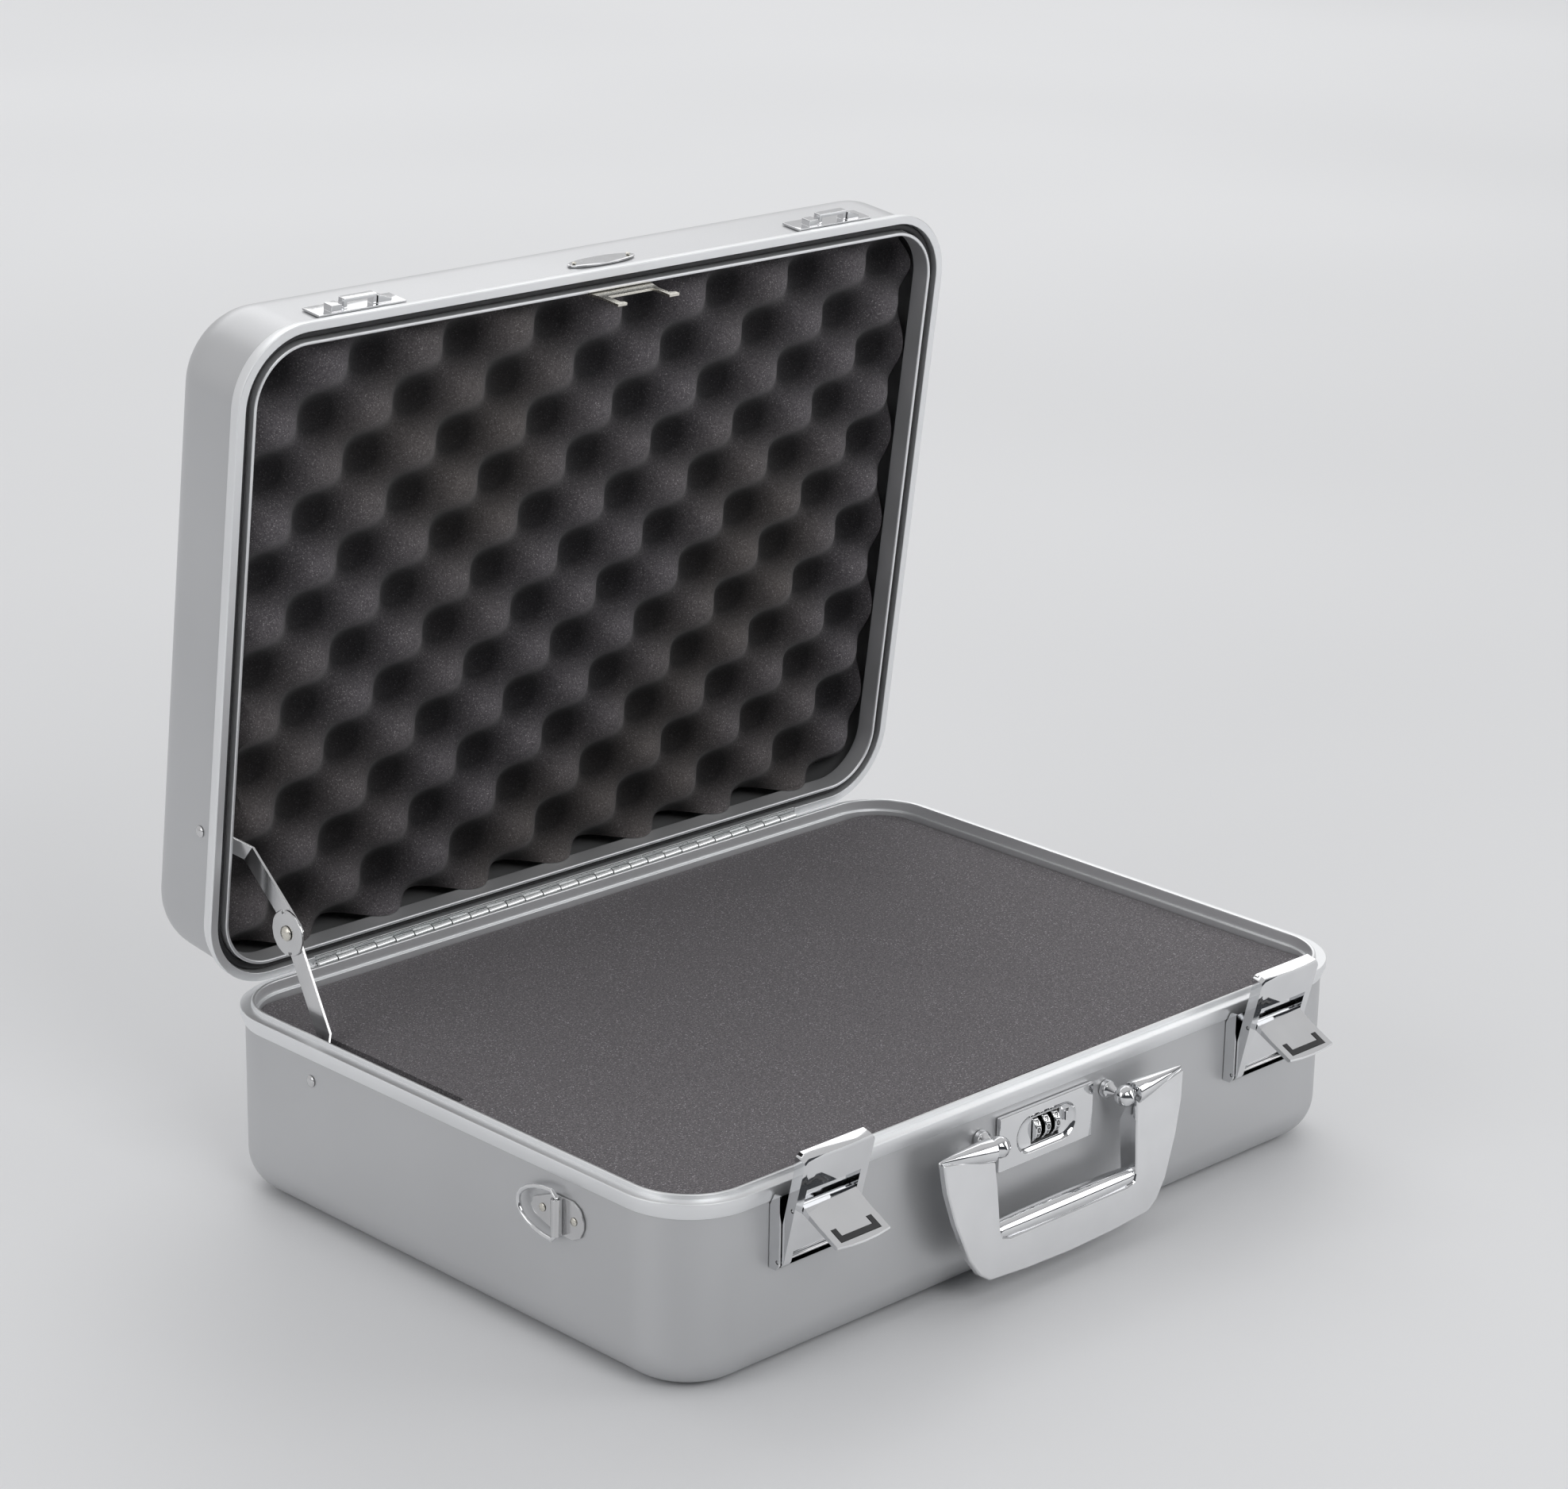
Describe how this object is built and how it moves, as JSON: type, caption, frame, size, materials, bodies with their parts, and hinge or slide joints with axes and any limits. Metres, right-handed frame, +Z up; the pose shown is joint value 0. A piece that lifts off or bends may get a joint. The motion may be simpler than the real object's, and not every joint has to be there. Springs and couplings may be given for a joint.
{
  "type": "hard equipment case",
  "caption": "Open hard-shell aluminium equipment case with foam linings, piano hinge, folding lid stay, draw latches, dial lock, chrome handle and strap rings.",
  "frame": {"origin": "middle of the flat bottom face", "axes": "+X along the case to the right seen from the front, +Y from the handle side to the hinge side, +Z up"},
  "size_m": [0.4644, 0.42, 0.4284],
  "materials": {
    "anodised_shell": "satin anodised sheet",
    "rim_aluminium": "satin anodised extrusion",
    "hinge_aluminium": "satin anodised",
    "bright_chrome": "bright chrome plate",
    "steel_strip": "plain rolled strip and wire",
    "nickel_fitting": "warm nickel plate",
    "black_rubber": "soft black seal",
    "black_inlay": "matt black pad",
    "base_foam_grey": "fine open-cell foam, charcoal",
    "lid_foam_grey": "egg-crate foam, dark grey"
  },
  "bodies": {
    "base": {"base_shell": "anodised_shell", "base_frame": "rim_aluminium", "base_foam": "base_foam_grey", "hinge_leaf_base": "hinge_aluminium", "hinge_pin": "steel_strip", "latch_left_housing": "bright_chrome", "latch_right_housing": "bright_chrome", "latch_left_pin": "steel_strip", "latch_right_pin": "steel_strip", "handle_post_left": "bright_chrome", "handle_post_right": "bright_chrome", "lock_plate": "bright_chrome", "lock_body": "nickel_fitting", "dial_axle": "steel_strip", "ring_clip_left": "steel_strip", "ring_clip_right": "steel_strip", "ring_rivet_left_front": "nickel_fitting", "ring_rivet_left_back": "nickel_fitting", "ring_rivet_right_front": "nickel_fitting", "ring_rivet_right_back": "nickel_fitting", "stay_rivet_base": "steel_strip"},
    "lid": {"lid_shell": "anodised_shell", "lid_frame": "rim_aluminium", "lid_gasket": "black_rubber", "lid_foam": "lid_foam_grey", "hinge_leaf_lid": "hinge_aluminium", "catch_left": "bright_chrome", "catch_right": "bright_chrome", "lock_hook": "nickel_fitting", "badge": "bright_chrome", "badge_rivet_left": "nickel_fitting", "badge_rivet_right": "nickel_fitting", "stay_rivet_lid": "steel_strip"},
    "handle_body": {"handle": "bright_chrome"},
    "lock_slide_body": {"lock_slide": "bright_chrome"},
    "dial_1_body": {"dial_1": "bright_chrome"},
    "dial_2_body": {"dial_2": "bright_chrome"},
    "dial_3_body": {"dial_3": "bright_chrome"},
    "ring_left": {"d_ring_left": "bright_chrome"},
    "ring_right": {"d_ring_right": "bright_chrome"},
    "stay_lower_body": {"stay_lower": "steel_strip", "stay_disc": "steel_strip", "stay_rivet": "nickel_fitting"},
    "stay_upper_body": {"stay_upper": "steel_strip"},
    "latch_left_cover_body": {"latch_left_cover": "bright_chrome", "latch_left_lever_pin": "steel_strip"},
    "latch_left_lever_body": {"latch_left_lever": "bright_chrome", "latch_left_inlay": "black_inlay"},
    "latch_right_cover_body": {"latch_right_cover": "bright_chrome", "latch_right_lever_pin": "steel_strip"},
    "latch_right_lever_body": {"latch_right_lever": "bright_chrome", "latch_right_inlay": "black_inlay"}
  },
  "joints": [
    {"name": "lid_hinge", "type": "hinge", "parent": "base", "child": "lid", "pos_m": [0, 0.166, 0.093], "axis": [1, 0, 0], "range_deg": [0, 83]},
    {"name": "latch_left_cover_hinge", "type": "hinge", "parent": "base", "child": "latch_left_cover_body", "pos_m": [-0.153, -0.1688, 0.0575], "axis": [-1, 0, 0], "range_deg": [-8, 12.6]},
    {"name": "latch_left_lever_hinge", "type": "hinge", "parent": "latch_left_cover_body", "child": "latch_left_lever_body", "pos_m": [-0.153, -0.17591, 0.08378], "axis": [1, 0, 0], "range_deg": [-10, 74]},
    {"name": "latch_right_cover_hinge", "type": "hinge", "parent": "base", "child": "latch_right_cover_body", "pos_m": [0.153, -0.1688, 0.0575], "axis": [-1, 0, 0], "range_deg": [-8, 12.6]},
    {"name": "latch_right_lever_hinge", "type": "hinge", "parent": "latch_right_cover_body", "child": "latch_right_lever_body", "pos_m": [0.153, -0.17591, 0.08378], "axis": [1, 0, 0], "range_deg": [-10, 74]},
    {"name": "handle_swing", "type": "hinge", "parent": "base", "child": "handle_body", "pos_m": [0, -0.176, 0.0745], "axis": [-1, 0, 0], "range_deg": [-4, 90]},
    {"name": "dial_1_turn", "type": "hinge", "parent": "base", "child": "dial_1_body", "pos_m": [-0.0056, -0.1601, 0.068], "axis": [1, 0, 0], "continuous": true},
    {"name": "dial_2_turn", "type": "hinge", "parent": "base", "child": "dial_2_body", "pos_m": [0.001, -0.1601, 0.068], "axis": [1, 0, 0], "continuous": true},
    {"name": "dial_3_turn", "type": "hinge", "parent": "base", "child": "dial_3_body", "pos_m": [0.0076, -0.1601, 0.068], "axis": [1, 0, 0], "continuous": true},
    {"name": "lock_slide_push", "type": "slide", "parent": "base", "child": "lock_slide_body", "axis": [1, 0, 0], "range_m": [0, 0.002], "stiffness_N_per_m": 200},
    {"name": "ring_left_swing", "type": "hinge", "parent": "base", "child": "ring_left", "pos_m": [-0.2296, -0.0858, 0.0672], "axis": [0, 0, 1], "range_deg": [0, 175]},
    {"name": "ring_right_swing", "type": "hinge", "parent": "base", "child": "ring_right", "pos_m": [0.2296, -0.0858, 0.0672], "axis": [0, 0, -1], "range_deg": [0, 175]},
    {"name": "stay_lower_turn", "type": "hinge", "parent": "base", "child": "stay_lower_body", "pos_m": [-0.2164, 0.0903, 0.0742], "axis": [1, 0, 0], "range_deg": [0, 103.5]},
    {"name": "stay_upper_turn", "type": "hinge", "parent": "lid", "child": "stay_upper_body", "pos_m": [-0.2164, 0.17115, 0.17575], "axis": [1, 0, 0], "range_deg": [-108.5, 0]}
  ],
  "couplings": [
    {"joint": "stay_lower_turn", "follows": "lid_hinge", "ratio": 1.2433},
    {"joint": "stay_upper_turn", "follows": "lid_hinge", "ratio": -1.3026}
  ]
}
